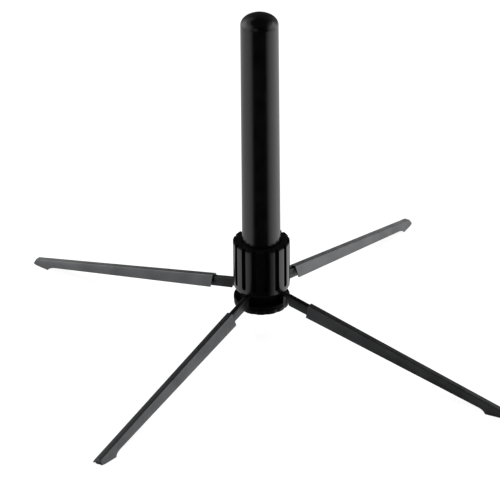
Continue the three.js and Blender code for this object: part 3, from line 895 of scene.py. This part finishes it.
def foot_pad(k):
    """Rubber pad with cross grooves in its sole."""
    tip = PAD_HIGH.x - 0.05
    distances = stations((PAD_LOW.x, 215.0, 12), (215.0, 215.2, 1), (215.2, 216.2, 3), (216.2, tip, 8))
    bm = leg_skin(pad_section, distances + [tip])
    for i in range(GROOVE["count"]):
        x = GROOVE["first"] + GROOVE["pitch"] * i
        bm = cut(bm, block((x, -4, -1), (x + GROOVE["width"], 4, GROOVE["depth"])))
    turn_about_z(bm, 90 * k)
    leg_piece("foot_rubber", bm, k, "foot_pad", FINISH["rubber"])


# ---- Stage ----
VIEW_AZIMUTH = math.radians(-56.15)
VIEW_ELEVATION = math.radians(29.07)
VIEW_DISTANCE = 2500.0
VIEW_AIM = Vector((-4.84, 7.22, 76.7))
VIEW_ROLL = math.radians(-0.604)
LENS = 235.75
FLOOR_GLOW = 0.94
WORLD_LIGHT = 0.03
LAMP_HEIGHT, LAMP_SIDE, LAMP_POWER = 2.2, 2.6, 14
TENT_RADIUS = 0.62
TENT_LOW, TENT_HIGH = -0.7, 1.1
TENT_GAIN = 2.0
# Brightness of the tent's wall by its angle from the camera's side, in degrees, positive to the right.
# The post reflects its lowest zone, the sides of the legs the next one. The legs' tops and the dome
# reflect the two upper ones.
TENT_POST_ZONE = (
    (-180, 0.5), (-137, 0.75), (-102, 0.93), (-77, 1.0), (-56, 0.8), (-48, 0.4), (-38, 0.0), (34, 0.0),
    (46, 0.5), (54, 0.85), (75, 1.4), (105, 1.6), (125, 1.2), (136, 1.0), (180, 0.5),
)
TENT_LEG_ZONE = (
    (-180, 0.33), (-170, 0.4), (-163, 0.7), (-158, 0.88), (-110, 0.82), (-90, 0.78), (-76, 0.88),
    (-60, 0.5), (-46, 0.07), (-40, 0.0), (45, 0.0), (56, 0.6), (71, 0.79), (89, 0.76), (100, 1.2),
    (114, 1.8), (126, 1.6), (150, 1.2), (166, 0.8), (170, 0.48), (180, 0.33),
)
TENT_TOP_ZONE = (
    (-180, 0.06), (-165, 0.08), (-158, 0.15), (-147, 0.4), (-138, 0.9), (-126, 1.7), (-112, 2.0),
    (-98, 1.9), (-84, 1.4), (-70, 1.1), (-58, 0.9), (-50, 0.22), (-20, 0.25), (-6, 0.0), (42, 0.0),
    (52, 0.3), (60, 0.5), (75, 1.4), (96, 2.0), (114, 2.0), (124, 1.0), (134, 0.3), (150, 0.24),
    (156, 0.13), (162, 0.06), (180, 0.06),
)
TENT_HIGH_ZONE = (
    (-180, 0.06), (-165, 0.08), (-158, 0.2), (-147, 0.42), (-138, 0.5), (-126, 0.6), (-112, 0.7),
    (-75, 0.75), (-66, 0.6), (-52, 0.1), (-40, 0.0), (55, 0.0), (68, 0.2), (80, 0.35), (98, 0.5),
    (110, 0.45), (118, 0.25), (128, 0.08), (180, 0.06),
)
LEG_ZONE = (0.0, 0.05)  # heights over which the wall passes from one zone to the next
TOP_ZONE = (0.14, 0.21)
HIGH_ZONE = (0.6, 0.8)


def camera():
    sin, cos = math.sin, math.cos
    a, e = VIEW_AZIMUTH, VIEW_ELEVATION
    back = Vector((sin(a) * cos(e), -cos(a) * cos(e), sin(e)))
    side = Vector((cos(a), sin(a), 0))
    up = back.cross(side)
    right = cos(VIEW_ROLL) * side + sin(VIEW_ROLL) * up
    top = -sin(VIEW_ROLL) * side + cos(VIEW_ROLL) * up
    turn = Matrix((right, top, back)).transposed().to_4x4()
    data = bpy.data.cameras.new("camera")
    data.lens = LENS
    data.clip_start, data.clip_end = 0.1, 20
    made = bpy.data.objects.new("camera", data)
    bpy.context.scene.collection.objects.link(made)
    made.matrix_world = Matrix.Translation((VIEW_AIM + back * VIEW_DISTANCE) * MM) @ turn
    bpy.context.scene.camera = made


def floor():
    """Plain white paper, lit from below as well, so that shadows on it stay faint."""
    bm = bmesh.new()
    bmesh.ops.create_grid(bm, x_segments=2, y_segments=2, size=4)
    made = bpy.data.objects.new("floor", to_mesh(bm, "floor"))
    bpy.context.scene.collection.objects.link(made)
    s = Shader("floor_paper")
    s.link(s.ramp(s.noise(6), [(0.3, (0.86, 0.86, 0.86)), (0.7, (0.88, 0.88, 0.88))]), "Base Color")
    s.set(Roughness=0.9, Specular_IOR_Level=0.1, Emission_Color=(1, 1, 1, 1), Emission_Strength=FLOOR_GLOW)
    made.data.materials.append(s.material)
    made.location.z = -0.0002
    made.visible_glossy = False


class Glow:
    """Nodes for the tent's emission."""

    def __init__(self, name):
        self.material = bpy.data.materials.new(name)
        self.material.use_nodes = True
        self.tree = self.material.node_tree
        self.tree.nodes.clear()
        self.place = self.new("ShaderNodeTexCoord").outputs["Object"]

    def new(self, kind):
        return self.tree.nodes.new(kind)

    def link(self, out, into):
        self.tree.links.new(out, into)

    def azimuth(self):
        """Angle round the stand as 0..1, with 0.5 on the camera's side."""
        facing = self.new("ShaderNodeMapping")
        facing.inputs["Rotation"].default_value[2] = math.pi / 2 - VIEW_AZIMUTH
        self.link(self.place, facing.inputs["Vector"])
        angle = self.new("ShaderNodeTexGradient")
        angle.gradient_type = "RADIAL"
        self.link(facing.outputs["Vector"], angle.inputs["Vector"])
        return angle.outputs["Fac"]

    def height(self):
        split = self.new("ShaderNodeSeparateXYZ")
        self.link(self.place, split.inputs[0])
        return split.outputs["Z"]

    def curve(self, source, stops):
        """Half the brightness, so that a curve can hold stops of up to 2."""
        node = self.new("ShaderNodeFloatCurve")
        curve = node.mapping.curves[0]
        while len(curve.points) < len(stops):
            curve.points.new(0.5, 0.5)
        for point, (degrees, glow) in zip(curve.points, stops):
            point.location = (0.5 + degrees / 360, glow / 2)
            point.handle_type = "VECTOR"
        node.mapping.update()
        self.link(source, node.inputs["Value"])
        return node.outputs["Value"]

    def step(self, source, low, high):
        node = self.new("ShaderNodeMapRange")
        node.interpolation_type = "SMOOTHSTEP"
        node.inputs["From Min"].default_value, node.inputs["From Max"].default_value = low, high
        self.link(source, node.inputs["Value"])
        return node.outputs["Result"]

    def blend(self, factor, first, second):
        node = self.new("ShaderNodeMix")
        self.link(factor, node.inputs["Factor"])
        self.link(first, node.inputs["A"])
        self.link(second, node.inputs["B"])
        return node.outputs["Result"]

    def emit(self, strength, gain):
        scaled = self.new("ShaderNodeMath")
        scaled.operation = "MULTIPLY"
        scaled.inputs[1].default_value = gain
        self.link(strength, scaled.inputs[0])
        glow = self.new("ShaderNodeEmission")
        self.link(scaled.outputs["Value"], glow.inputs["Strength"])
        self.link(glow.outputs["Emission"], self.new("ShaderNodeOutputMaterial").inputs["Surface"])


def tent():
    """An open wall of light round the stand, seen only in its reflections. It is dark on the camera's
    side, and it differs between the heights that the post, the legs' sides and the tops reflect."""
    bm = bmesh.new()
    bmesh.ops.create_cone(bm, cap_ends=False, segments=96, radius1=TENT_RADIUS, radius2=TENT_RADIUS,
                          depth=TENT_HIGH - TENT_LOW)
    bmesh.ops.translate(bm, verts=bm.verts, vec=(0, 0, (TENT_HIGH + TENT_LOW) / 2))
    made = bpy.data.objects.new("light_tent", to_mesh(bm, "light_tent"))
    bpy.context.scene.collection.objects.link(made)
    glow = Glow("tent_glow")
    angle, height = glow.azimuth(), glow.height()
    wall = glow.curve(angle, TENT_POST_ZONE)
    for heights, zone in ((LEG_ZONE, TENT_LEG_ZONE), (TOP_ZONE, TENT_TOP_ZONE), (HIGH_ZONE, TENT_HIGH_ZONE)):
        wall = glow.blend(glow.step(height, *heights), wall, glow.curve(angle, zone))
    glow.emit(wall, TENT_GAIN)
    made.data.materials.append(glow.material)
    made.visible_camera = made.visible_diffuse = made.visible_shadow = made.visible_transmission = False


def studio():
    """Dim even surroundings outside the tent."""
    world = bpy.data.worlds.new("studio")
    bpy.context.scene.world = world
    world.use_nodes = True
    background = world.node_tree.nodes["Background"]
    background.inputs["Color"].default_value = (1, 1, 1, 1)
    background.inputs["Strength"].default_value = WORLD_LIGHT


def lamp(name, place, aim, size, power):
    data = bpy.data.lights.new(name, "AREA")
    data.shape = "RECTANGLE"
    data.size, data.size_y = size
    data.energy = power
    made = bpy.data.objects.new(name, data)
    bpy.context.scene.collection.objects.link(made)
    made.location = place
    made.rotation_mode = "QUATERNION"
    made.rotation_quaternion = (Vector(aim) - Vector(place)).to_track_quat("-Z", "Y")
    return made


def lights():
    top = lamp("overhead", (0, 0, LAMP_HEIGHT), (0, 0, 0), (LAMP_SIDE, LAMP_SIDE), LAMP_POWER)
    top.visible_glossy = False


def main():
    camera()
    post_tube()
    post_cap()
    slip_washer()
    collar_nut()
    hub_crown()
    base_disc()
    base_screws()
    pivot_pins()
    for k in range(LEGS):
        leg_sleeve(k)
        leg_arm(k)
        leg_rivets(k)
        foot_pad(k)
    floor()
    tent()
    studio()
    lights()
    bpy.context.scene.view_settings.view_transform = "Standard"


main()
bpy.context.view_layer.update()
